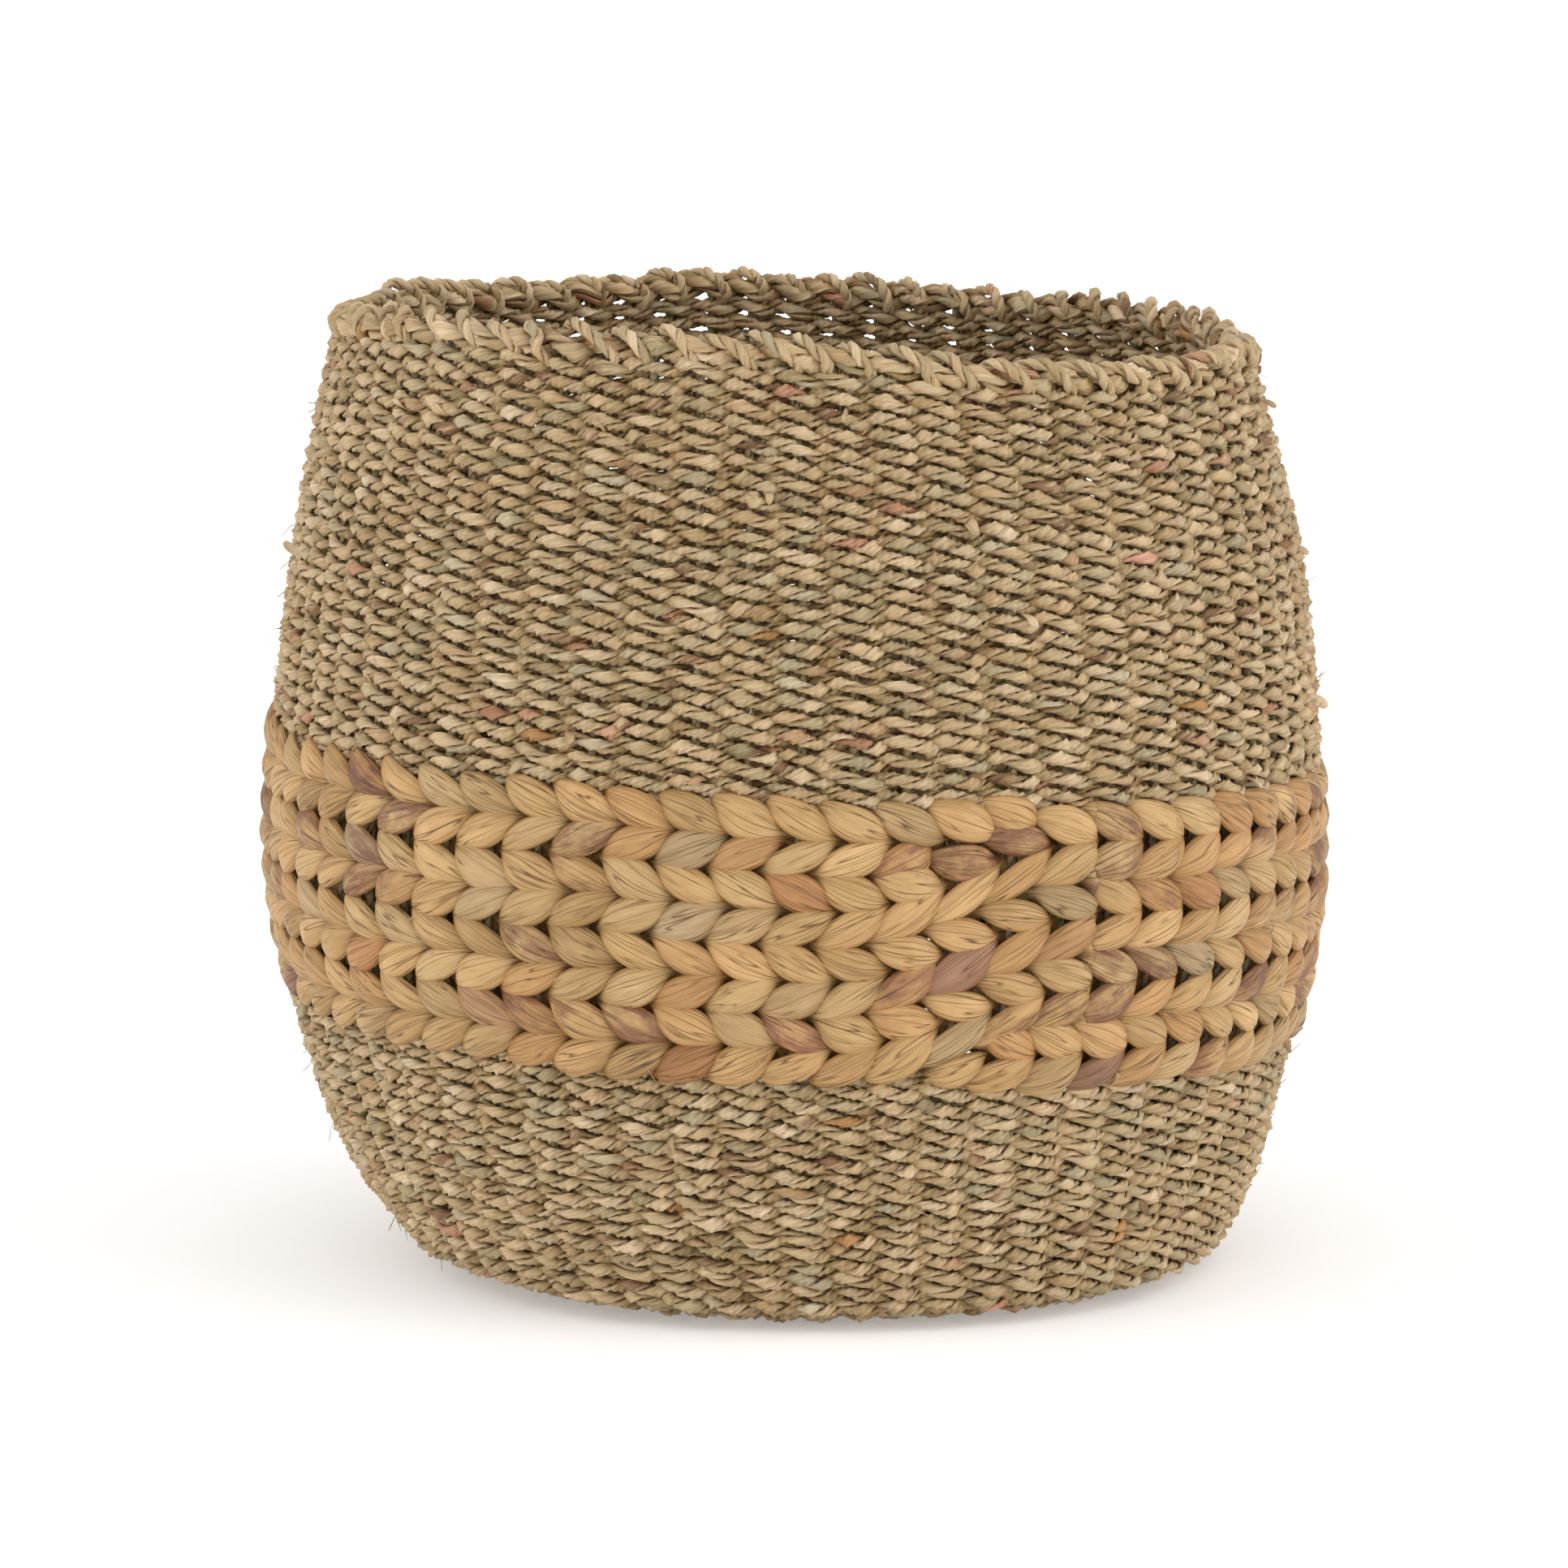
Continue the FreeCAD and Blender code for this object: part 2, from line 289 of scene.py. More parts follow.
def finishPiece(strands, name, look, slot, *nodes):
    # strands become one piece that rides on the basket and stands for its nodes
    deselectAll()
    for strand in strands:
        strand.select_set(True)
    bpy.context.view_layer.objects.active = strands[0]
    if len(strands) > 1:
        bpy.ops.object.join()
    piece = bpy.context.view_layer.objects.active
    piece.name = name
    piece.data.name = name
    piece.data.materials.clear()
    piece.data.materials.append(look)
    bpy.ops.object.mode_set(mode="EDIT")
    bpy.ops.mesh.select_all(action="SELECT")
    bpy.ops.mesh.normals_make_consistent(inside=False)
    bpy.ops.object.mode_set(mode="OBJECT")
    bpy.ops.object.transform_apply(location=True, rotation=True, scale=True)
    bpy.ops.object.shade_smooth()
    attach(piece, "root")
    if nodes:
        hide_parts(*nodes)
    return piece


def wander(rng, turnAngle, size, slowest, fastest):
    # an even random drift that closes on itself after a full turn
    total = np.zeros_like(turnAngle)
    for beat in range(slowest, fastest + 1):
        total += rng.normal() * np.sin(beat * turnAngle + rng.uniform(0, fullTurn))
    return size * total / math.sqrt(fastest - slowest + 1)


def fibreCoords(rng, distance, sides):
    # along the strand in cm, and round it on a small circle, each strand at a place of its own
    around = np.arange(sides) * fullTurn / sides
    coords = np.zeros((len(distance), sides, 3))
    coords[:, :, 0] = distance[:, None] * 100 + rng.uniform(0, 50)
    coords[:, :, 1] = np.cos(around)[None, :] + rng.uniform(0, 50)
    coords[:, :, 2] = np.sin(around)[None, :]
    return coords


def leafValues(rng, index, sides, variety, stained, shade=0):
    # tone, hue and stain for each leaf along a strand; painted shade darkens the tone of what lies deep in
    # the weave
    index = index.astype(int)
    index = index - index.min()
    kinds = index.max() + 1
    base = rng.uniform(0.38, 0.62, 2)
    tone = np.clip(base[0] + rng.normal(0, variety, kinds), 0, 1)
    hue = np.clip(base[1] + rng.normal(0, variety, kinds), 0, 1)
    isStained = rng.uniform(size=kinds) < stained
    deep = rng.uniform(0.6, 1.3, kinds)
    faint = rng.uniform(0, 0.25, kinds)
    stain = np.where(isStained, deep, faint)
    values = np.stack([tone[index], hue[index], stain[index]], axis=-1)
    values = np.repeat(values[:, None, :], sides, axis=1)
    # painted shade taken off the tone
    values[:, :, 0] -= shade
    return values


def plySection(turn, core, wide, thick, sides):
    # a flat-faced ply beside its cord's middle, turned round it; returns out and up parts
    around = np.arange(sides) * fullTurn / sides
    outward = core + thick[:, None] * np.cos(around)[None, :]
    sideways = wide[:, None] * np.sin(around)[None, :]
    cosTurn, sinTurn = np.cos(turn)[:, None], np.sin(turn)[:, None]
    return outward * cosTurn - sideways * sinTurn, outward * sinTurn + sideways * cosTurn


grassCord = {
    "spacing": 2.35,     # from one cross-section to the next
    "sides": 6,
    "out": 2.75,         # the cord's middle stands this far off the stakes' line as it passes over one
    "cross": 1.45,       # half the height between the two cords where they cross
    "core": 1.1,         # ply's middle from the cord's middle
    "wide": 2.25,        # half width of a ply
    "thick": 1.25,       # half thickness of a ply
    "twist": 1.05,       # turns of the plies between two stakes
    "pitch": 18.2,       # from one stake to the next
    "lump": 0.23,        # how much a ply's width comes and goes
    "drift": 0.2,        # how far the round strays as a whole, then each cord in, out, up and down
    "strayOut": 0.3,
    "strayUp": 0.32,
    "slip": 0.8,         # how far the twist runs ahead or behind, in radians
    "uneven": 0.0025,    # the same for a ply's place along the round
    "variety": 0.17,
    "stained": 0.05,
    "shade": 0.9,        # how much painted shade darkens the cords between the stakes, and how near to their line
    "shadeDepth": 3.0,
}


def twinedRound(rng, ring, cord, lay, groups=stakeCount):
    # two cords that cross between every two stakes or groups of stakes, each of two twisted plies
    count = int(fullTurn * ring["radius"] / (cord["spacing"] * mm))
    angle = np.arange(count) * fullTurn / count
    passes = angle * groups / fullTurn
    strands = []
    drift = wander(rng, angle, cord["drift"] * mm, 2, 24)
    length = fullTurn * ring["radius"] / mm
    for weaver in (0, 1):
        phase = math.pi * (passes + weaver)
        out = cord["out"] * mm * np.cos(phase) + wander(rng, angle, cord["strayOut"] * mm, 8, 60)
        stray = drift + wander(rng, angle, cord["strayUp"] * mm, 8, 60)
        up = lay * cord["cross"] * mm * np.sin(phase) + stray
        twists = round(cord["twist"] * length / cord["pitch"]) + int(rng.integers(-4, 5))
        start = rng.uniform(0, fullTurn)
        slip = wander(rng, angle, cord["slip"], 3, 40)
        for ply in (0, 1):
            turn = twists * angle + start + slip + math.pi * ply
            lump = 1 + wander(rng, angle, cord["lump"], 20, 90)
            wide = cord["wide"] * mm * lump * (1 + 0.12 * np.cos(turn))
            thick = cord["thick"] * mm * (0.5 + 0.5 * lump)
            outPart, upPart = plySection(turn, cord["core"] * mm, wide, thick, cord["sides"])
            spot = angle + wander(rng, angle, cord["uneven"], 10, 60)
            spot = np.repeat(spot[:, None], cord["sides"], axis=1)
            depth = out[:, None] + outPart
            points = onRing(ring, spot, depth, up[:, None] + upPart)
            fibre = fibreCoords(rng, angle * ring["radius"], cord["sides"])
            # painted shade: the tone is darkened where the ply lies near the stakes' line, deep in the weave
            shade = cord["shade"] * np.clip(1 - np.abs(depth) / (cord["shadeDepth"] * mm), 0, 1)
            leafNumber = np.floor(turn / fullTurn + 0.5)
            leaf = leafValues(rng, leafNumber, cord["sides"], cord["variety"], cord["stained"], shade)
            strands.append(layStrand(points, fibre, leaf))
    return strands


def evenPath(points, spacing):
    # a smooth line through a few points, then even steps along it
    points = np.asarray(points, float)
    before = np.vstack([2 * points[0] - points[1], points[:-1]])
    after = np.vstack([points[1:], 2 * points[-1] - points[-2]])
    slope = (after - before) / 2
    share = np.linspace(0, 1, 9)[:-1, None]
    fine = []
    for n in range(len(points) - 1):
        start, end = points[n], points[n + 1]
        square, cube = share ** 2, share ** 3
        fine.append(
            (2 * cube - 3 * square + 1) * start + (cube - 2 * square + share) * slope[n]
            + (3 * square - 2 * cube) * end + (cube - square) * slope[n + 1]
        )
    fine = np.vstack(fine + [points[-1:]])
    length = np.concatenate([[0], np.cumsum(np.linalg.norm(np.diff(fine, axis=0), axis=1))])
    count = max(4, int(round(length[-1] / spacing)) + 1)
    places = np.linspace(0, length[-1], count)
    return np.stack([np.interp(places, length, fine[:, axis]) for axis in range(3)], axis=-1), places


looseEnd = {"blunt": 0.55, "lump": 0.1, "variety": 0.16, "stained": 0.05}


def openCord(rng, points, side, cord):
    # a twisted cord with two ends along a path; side points along the basket's rounds
    path, places = evenPath(points, cord["spacing"] * mm)
    along = np.gradient(path, axis=0)
    along /= np.linalg.norm(along, axis=1)[:, None]
    out = np.cross(along, side)
    out /= np.linalg.norm(out, axis=1)[:, None]
    across = np.cross(along, out)
    count = len(path)
    taper = np.clip(np.minimum(np.arange(count), np.arange(count)[::-1]) + looseEnd["blunt"], 0, 1)
    start = rng.uniform(0, fullTurn)
    strands = []
    for ply in range(cord["plies"]):
        turn = places / mm / cord["turnLength"] * fullTurn + start + fullTurn * ply / cord["plies"]
        beat = np.sin(places / mm * rng.uniform(0.6, 1.1) + rng.uniform(0, fullTurn))
        lump = taper * (1 + looseEnd["lump"] * beat)
        wide = cord["wide"] * mm * lump
        thick = cord["thick"] * mm * lump
        outPart, acrossPart = plySection(turn, cord["core"] * mm, wide, thick, cord["sides"])
        aside = outPart[..., None] * out[:, None, :] + acrossPart[..., None] * across[:, None, :]
        spots = path[:, None, :] + aside
        fibre = fibreCoords(rng, places, cord["sides"])
        leafNumber = np.floor(turn / fullTurn + 0.5)
        leaf = leafValues(rng, leafNumber, cord["sides"], looseEnd["variety"], looseEnd["stained"])
        strands.append(layStrand(spots, fibre, leaf, closed=False))
    return strands


def paint(red, green, blue):
    # a paint-chart colour from 0 to 255, made linear
    return tuple(
        (value / 255 / 12.92) if value / 255 <= 0.04045 else ((value / 255 + 0.055) / 1.055) ** 2.4
        for value in (red, green, blue)
    ) + (1.0,)


def link(tree, start, end):
    tree.links.new(start, end)


def mathNode(tree, operation, *values):
    node = tree.nodes.new("ShaderNodeMath")
    node.operation = operation
    for socket, value in zip(node.inputs, values):
        if isinstance(value, (int, float)):
            socket.default_value = value
        else:
            link(tree, value, socket)
    return node.outputs[0]


def spread(tree, value, low, high, newLow, newHigh):
    # the range low to high is stretched to newLow to newHigh, and held there
    node = tree.nodes.new("ShaderNodeMapRange")
    link(tree, value, node.inputs["Value"])
    for name, limit in (("From Min", low), ("From Max", high), ("To Min", newLow), ("To Max", newHigh)):
        node.inputs[name].default_value = limit
    return node.outputs[0]


def mixColor(tree, factor, first, second, blend="MIX"):
    node = tree.nodes.new("ShaderNodeMix")
    node.data_type = "RGBA"
    node.blend_type = blend
    for socket, value in ((node.inputs[0], factor), (node.inputs[6], first), (node.inputs[7], second)):
        if isinstance(value, (int, float, tuple)):
            socket.default_value = value
        else:
            link(tree, value, socket)
    return node.outputs[2]


def strawOf(tree, value):
    # dry leaf turns brown where it is dark and pale where it is light; this also browns the painted shade
    # deep in the weave
    straw = tree.nodes.new("ShaderNodeCombineColor")
    for socket, power in zip(straw.inputs, (0.9, 1.08, 1.6)):
        link(tree, mathNode(tree, "POWER", value, power), socket)
    return straw.outputs[0]


def noiseOn(tree, vector, stretch, scale, detail=2.0, roughness=0.5):
    # noise drawn out along the fibres
    mapping = tree.nodes.new("ShaderNodeMapping")
    mapping.inputs["Scale"].default_value = stretch
    link(tree, vector, mapping.inputs["Vector"])
    noise = tree.nodes.new("ShaderNodeTexNoise")
    if isinstance(scale, (int, float)):
        noise.inputs["Scale"].default_value = scale
    else:
        link(tree, scale, noise.inputs["Scale"])
    noise.inputs["Detail"].default_value = detail
    noise.inputs["Roughness"].default_value = roughness
    link(tree, mapping.outputs[0], noise.inputs["Vector"])
    return noise.outputs["Fac"]


def makeLeafGroup():
    # dry leaf: fine dark lines along the fibres, light and dark leaves, mottling and stains
    group = bpy.data.node_groups.new("dryLeaf", "ShaderNodeTree")
    for name, kind in (
        ("Fibre", "Vector"), ("Tone", "Float"), ("Stain", "Float"), ("Leaf Color", "Color"),
        ("Stain Color", "Color"), ("Line Depth", "Float"), ("Line Scale", "Float"), ("Tone Range", "Float"),
    ):
        group.interface.new_socket(name=name, in_out="INPUT", socket_type="NodeSocket" + kind)
    for name, kind in (("Color", "Color"), ("Roughness", "Float"), ("Height", "Float")):
        group.interface.new_socket(name=name, in_out="OUTPUT", socket_type="NodeSocket" + kind)
    start = group.nodes.new("NodeGroupInput").outputs
    end = group.nodes.new("NodeGroupOutput").inputs
    fibre = start["Fibre"]
    fine = noiseOn(group, fibre, (0.22, 1.0, 1.0), 7.0, 2.0, 0.55)
    lines = noiseOn(group, fibre, (0.12, 1.0, 1.0), start["Line Scale"], 1.0, 0.4)
    broad = noiseOn(group, fibre, (0.45, 0.8, 0.8), 1.4, 2.0)
    patch = noiseOn(group, fibre, (0.6, 0.55, 0.55), 1.3, 4.0, 0.65)
    # thin dark lines lie where the slow noise crosses its middle
    crossing = mathNode(group, "ABSOLUTE", mathNode(group, "SUBTRACT", lines, 0.5))
    line = spread(group, crossing, 0.0, 0.03, 1.0, 0.0)
    lineDark = mathNode(group, "MULTIPLY", line, spread(group, broad, 0.4, 0.6, 0.3, 1.0))
    lineDark = mathNode(group, "MULTIPLY", lineDark, start["Line Depth"])
    streak = spread(group, fine, 0.25, 0.75, -0.16, 0.16)
    mottle = spread(group, broad, 0.3, 0.7, -0.12, 0.12)
    tone = mathNode(group, "SUBTRACT", start["Tone"], 0.5)
    tone = mathNode(group, "MULTIPLY_ADD", tone, start["Tone Range"], 1.0)
    light = mathNode(group, "ADD", mathNode(group, "ADD", tone, streak), mottle)
    light = mathNode(group, "MULTIPLY", light, mathNode(group, "SUBTRACT", 1.0, lineDark))
    grey = strawOf(group, light)
    plain = mixColor(group, 1.0, start["Leaf Color"], grey, "MULTIPLY")
    dirty = mixColor(group, 1.0, start["Stain Color"], grey, "MULTIPLY")
    mask = spread(group, mathNode(group, "MULTIPLY_ADD", start["Stain"], 0.3, patch), 0.68, 0.9, 0.0, 0.85)
    link(group, mixColor(group, mask, plain, dirty), end["Color"])
    link(group, spread(group, fine, 0.3, 0.7, 0.66, 0.44), end["Roughness"])
    height = mathNode(group, "MULTIPLY_ADD", fine, 0.7, mathNode(group, "MULTIPLY", broad, 0.5))
    height = mathNode(group, "SUBTRACT", height, mathNode(group, "MULTIPLY", line, 0.5))
    link(group, height, end["Height"])
    return group


leafGroup = makeLeafGroup()


def makeLeafLook(name, palette, stainColor, lineDepth, lineScale, toneRange, bumpDepth, gloss):
    look = bpy.data.materials.new(name)
    look.use_nodes = True
    tree = look.node_tree
    shader = tree.nodes["Principled BSDF"]
    fibre = tree.nodes.new("ShaderNodeAttribute")
    fibre.attribute_name = "fibre"
    leaf = tree.nodes.new("ShaderNodeAttribute")
    leaf.attribute_name = "leaf"
    parts = tree.nodes.new("ShaderNodeSeparateXYZ")
    link(tree, leaf.outputs["Vector"], parts.inputs[0])
    ramp = tree.nodes.new("ShaderNodeValToRGB")
    stops = ramp.color_ramp.elements
    for place, color in palette:
        stops.new(place).color = paint(*color)
    stops.remove(stops[0])
    stops.remove(stops[-1])
    link(tree, parts.outputs[1], ramp.inputs[0])
    group = tree.nodes.new("ShaderNodeGroup")
    group.node_tree = leafGroup
    link(tree, fibre.outputs["Vector"], group.inputs["Fibre"])
    link(tree, parts.outputs[0], group.inputs["Tone"])
    link(tree, parts.outputs[2], group.inputs["Stain"])
    link(tree, ramp.outputs[0], group.inputs["Leaf Color"])
    group.inputs["Stain Color"].default_value = paint(*stainColor)
    group.inputs["Line Depth"].default_value = lineDepth
    group.inputs["Line Scale"].default_value = lineScale
    group.inputs["Tone Range"].default_value = toneRange
    link(tree, group.outputs["Color"], shader.inputs["Base Color"])
    link(tree, group.outputs["Roughness"], shader.inputs["Roughness"])
    bump = tree.nodes.new("ShaderNodeBump")
    bump.inputs["Strength"].default_value = 0.7
    bump.inputs["Distance"].default_value = bumpDepth * mm
    link(tree, group.outputs["Height"], bump.inputs["Height"])
    link(tree, bump.outputs[0], shader.inputs["Normal"])
    shader.inputs["Specular IOR Level"].default_value = gloss
    return look


# each palette runs from pink and orange leaves through straw to grey-green ones
grassPalette = [
    (0.02, (188, 136, 104)), (0.10, (194, 160, 117)), (0.32, (202, 174, 131)), (0.55, (197, 170, 129)),
    (0.75, (186, 165, 126)), (0.92, (172, 157, 122)), (0.99, (188, 140, 84)),
]
stakePalette = [(0.05, (176, 150, 106)), (0.5, (164, 146, 104)), (0.95, (148, 138, 102))]
hyacinthPalette = [
    (0.02, (144, 102, 72)), (0.12, (168, 126, 80)), (0.24, (177, 130, 73)), (0.38, (186, 144, 89)),
    (0.62, (183, 146, 91)), (0.80, (174, 142, 94)), (0.94, (160, 135, 95)), (0.99, (172, 120, 68)),
]
grassLook = makeLeafLook("seagrassCord", grassPalette, (120, 76, 38), 0.28, 3.2, 0.66, 0.4, 0.55)
stakeLook = makeLeafLook("seagrassStake", stakePalette, (120, 86, 50), 0.4, 3.6, 0.4, 0.5, 0.35)
hyacinthLook = makeLeafLook("waterHyacinth", hyacinthPalette, (116, 66, 38), 0.85, 2.5, 0.5, 0.7, 0.65)
print("looks ready")

hyacinthLeaf = {
    "samples": 12,       # cross-sections from one stake to the next
    "sides": 12,
    "out": 4.6,
    "face": 0.69,        # a leaf shows for this many stakes on each side of the one it covers
    "cross": 4.9,        # how far its tips lie above and below its middle
    "tall": 6.2,         # half height over a stake
    "waist": 1.6,        # half height at the tips
    "thick": 2.9,
    "thinWaist": 1.3,
    "ridge": 0.045,
    # painted shade deep in the weave: how much darker the leaves are painted, and how near to the stakes'
    # line
    "shade": 0.8,
    "shadeDepth": 3.0,
    "variety": 0.19,
    "stained": 0.25,
    "drift": 0.3,        # how far a row strays as a whole, and each leaf up, down, in and out
    "strayUp": 0.3,
    "strayOut": 0.25,
    "tuckLength": 0.5,   # stakes over which a row's end goes in
    "tuckDepth": 5,
    "straight": 0.94,    # 1 makes each leaf cross its stake in a straight slant
    "stepAt": -10.5,     # stakes from +X, where each row has climbed to the place of the next but one
    "stepStakes": 5,     # stakes that the climb takes
    "early": {1: 3, 2: 2},    # rows that begin this many stakes before the step
    "short": {7: 3, 8: 1},    # rows that end this many stakes before it
}


def hyacinthRound(rng, ring, rowNumber, leafSize):
    # two soft leaves twined over the stakes; each swells over a stake and narrows to pass behind the next
    sides = leafSize["sides"]
    lay = -1 if rowNumber % 2 == 0 else 1
    pitch = bandRings[1]["z"] - bandRings[0]["z"]
    stakeTurn = fullTurn / stakeCount
    stepAt = leafSize["stepAt"] * stakeTurn
    early = leafSize["early"].get(rowNumber, 0)
    short = leafSize["short"].get(rowNumber, 0)
    rounds = (stakeCount + early - short) * leafSize["samples"] + 1
    angle = stepAt + (np.arange(rounds) / leafSize["samples"] - early) * stakeTurn
    passes = angle / stakeTurn
    around = np.arange(sides) * fullTurn / sides
    climb = np.clip((angle - stepAt - fullTurn) / (stakeTurn * leafSize["stepStakes"]) + 1, 0, 1)
    climb = climb * climb * (3 - 2 * climb) * 2 * pitch * (0.15 if short else 1)
    # rows that begin or end by themselves are tucked in; the others run on into one another
    fromStart = np.arange(rounds) / leafSize["samples"] + (0 if early else 9)
    fromEnd = np.arange(rounds)[::-1] / leafSize["samples"] + (0 if short else 9)
    tuck = np.clip(1 - np.minimum(fromStart, fromEnd) / leafSize["tuckLength"], 0, 1) ** 2
    strands = []
    pinned = np.clip(np.minimum(np.arange(rounds), np.arange(rounds)[::-1]) / leafSize["samples"], 0, 1)
    drift = wander(rng, angle, leafSize["drift"] * mm, 2, 12) * pinned
    for weaver in (0, 1):
        leafNumber = np.floor((passes + weaver) / 2 + 0.5).astype(int)
        beside = passes + weaver - 2 * leafNumber
        phase = math.pi * np.sign(beside) * np.interp(np.abs(beside), (0, leafSize["face"], 1), (0, 0.5, 1))
        leafNumber = leafNumber - leafNumber.min()
        sizeOf = np.clip(rng.normal(1, 0.1, leafNumber.max() + 1), 0.8, 1.17)[leafNumber]
        belly = np.abs(np.cos(phase)) ** 0.8
        over = np.sign(np.cos(phase)) * belly ** 0.8
        size = 1 + (sizeOf - 1) * belly
        straight = leafSize["straight"]
        slant = np.arcsin(straight * np.sin(phase)) / math.asin(straight)
        out = leafSize["out"] * over * mm + wander(rng, angle, leafSize["strayOut"] * mm, 8, 40) * pinned
        out = out - tuck * leafSize["tuckDepth"] * mm * np.sign(over)
        stray = drift + wander(rng, angle, leafSize["strayUp"] * mm, 8, 50) * pinned
        up = lay * leafSize["cross"] * slant * mm + stray + climb
        tall = leafSize["waist"] + (leafSize["tall"] - leafSize["waist"]) * belly
        tall = tall * size * mm * (1 - 0.5 * tuck)
        thick = leafSize["thinWaist"] + (leafSize["thick"] - leafSize["thinWaist"]) * belly
        thick = thick * size * mm
        ridge = 1 + leafSize["ridge"] * np.cos(4 * around[None, :] + wander(rng, angle, 1.2, 4, 40)[:, None])
        bulge = np.sign(np.cos(around)) * np.abs(np.cos(around)) ** 0.8
        outPart = out[:, None] + thick[:, None] * bulge[None, :] * ridge
        tilt = np.arctan2(np.gradient(up), np.gradient(angle) * ring["radius"])[:, None]
        face = tall[:, None] * np.sin(around)[None, :] * ridge
        upPart = up[:, None] + face * np.cos(tilt)
        spot = angle[:, None] - face * np.sin(tilt) / ring["radius"]
        points = onRing(ring, spot, outPart, upPart)
        fibre = fibreCoords(rng, angle * ring["radius"], sides)
        # painted shade: the tone is darkened where the leaf lies near the stakes' line
        shade = leafSize["shade"] * np.clip(1 - np.abs(outPart) / (leafSize["shadeDepth"] * mm), 0, 1)
        leaf = leafValues(rng, leafNumber, sides, leafSize["variety"], leafSize["stained"], shade)
        strands.append(layStrand(points, fibre, leaf, closed=False, folded=False))
    return strands


rng = np.random.default_rng(7)
baseWeave = {"narrow": 0.062, "middle": 0.100}    # radii up to which stakes are twined in fours and in twos


def baseGroups(radius):
    if radius < baseWeave["narrow"]:
        return stakeCount // 4
    return stakeCount // 2 if radius < baseWeave["middle"] else stakeCount


baseCord = dict(grassCord, spacing=2.7, sides=5, out=1.75, wide=2.1)
cornerCord = dict(baseCord, out=1.5, cross=2.2, wide=2.5)


def makeBaseRounds():
    strands = []
    for ring in baseRings[:-1]:
        strands += twinedRound(rng, ring, baseCord, -1, baseGroups(ring["radius"]))
    strands += twinedRound(rng, baseRings[-1], cornerCord, -1)
    finishPiece(strands, "base_rounds_cords", grassLook, "seagrass", "base_rounds")


plait = {
    "pitch": 5.7, "rise": 1.5, "reach": 0.6,
    "spacing": 2.4, "sides": 6, "plies": 2, "turnLength": 15, "core": 1.0, "wide": 2.1, "thick": 1.2,
}


def makeBaseCross():
    # stakes laid both ways and plaited over and under, where the basket was begun
    low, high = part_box("base_cross")
    middle = (np.array(low) + np.array(high)) / 2
    reach = (high[0] - low[0]) / 2 + plait["reach"] * mm
    lanes = int(reach / (plait["pitch"] * mm))
    strands = []
    for direction in (0, 1):
        for lane in range(-lanes, lanes + 1):
            offset = lane * plait["pitch"] * mm
            half = math.sqrt(reach ** 2 - offset ** 2)
            along = np.linspace(-half, half, max(4, int(half / (plait["pitch"] * mm) * 4)))
            beat = np.cos(math.pi * along / (plait["pitch"] * mm)) * (1 if (lane + direction) % 2 else -1)
            points = np.zeros((len(along), 3))
            points[:, direction] = along
            points[:, 1 - direction] = offset
            points[:, 2] = beat * plait["rise"] * mm
            side = (0, 1, 0) if direction == 0 else (1, 0, 0)
            strands += openCord(rng, points + middle, np.array(side, float), plait)
    finishPiece(strands, "base_cross_plait", grassLook, "seagrass", "base_cross")


makeBaseCross()
makeBaseRounds()
print("base woven")

for number, (node, ring) in enumerate(zip(lowerNodes, lowerRings)):
    also = ("inner_weavers_lower",) if number == 0 else ()
    finishPiece(twinedRound(rng, ring, grassCord, -1), f"{node}_cords", grassLook, "seagrass", node, *also)
print("lower wall woven")

for number, (node, ring) in enumerate(zip(bandNodes, bandRings)):
    also = ("inner_weavers_band",) if number == 0 else ()
    leaves = hyacinthRound(rng, ring, number + 1, hyacinthLeaf)
    finishPiece(leaves, f"{node}_leaves", hyacinthLook, "water_hyacinth", node, *also)
print("hyacinth band woven")

for number, (node, ring) in enumerate(zip(upperNodes, upperRings)):
    also = ("inner_weavers_upper",) if number == 0 else ()
    finishPiece(twinedRound(rng, ring, grassCord, -1), f"{node}_cords", grassLook, "seagrass", node, *also)
print("upper wall woven")

stakeCord = {
    "spacing": 3.1, "sides": 4, "plies": 2, "turnLength": 13, "core": 0.8, "wide": 1.5, "thick": 0.95,
}


def makeStakes():
    # out along the base, round the foot and up between the cords of every round
    strands = []
    for number in range(stakeCount):
        angle = fullTurn * number / stakeCount
        points = [onRing(ring, angle, 0, 0) for ring in baseRings[::4] + [baseRings[-1]]]
        points += [onRing(ring, angle, 0, 0) for ring in wallRings[::2]]
        side = np.array([-math.sin(angle), math.cos(angle), 0])
        strands += openCord(rng, points, side, stakeCord)
    finishPiece(strands, "stakes_cords", stakeLook, "seagrass_stakes", "stakes")


makeStakes()
print("stakes laid")

borderCord = dict(grassCord, out=3.3, cross=2.1, core=1.5, wide=3.0, thick=1.7, twist=0.55)
loopCord = {
    "spacing": 1.9, "sides": 6, "plies": 2, "turnLength": 15, "core": 1.05, "wide": 1.85, "thick": 1.15,
    # one loop's path beside its stake: along the rim, out from the stakes' line, up
    "path": [
        (-4.0, -0.5, -6.5), (-4.2, -3.4, -1.0), (-2.2, -3.4, 3.4), (1.4, -0.8, 5.6), (5.4, 3.0, 4.8),
        (9.4, 5.0, 1.9), (12.8, 4.4, -1.6), (15.4, 1.2, -5.2),
    ],
}


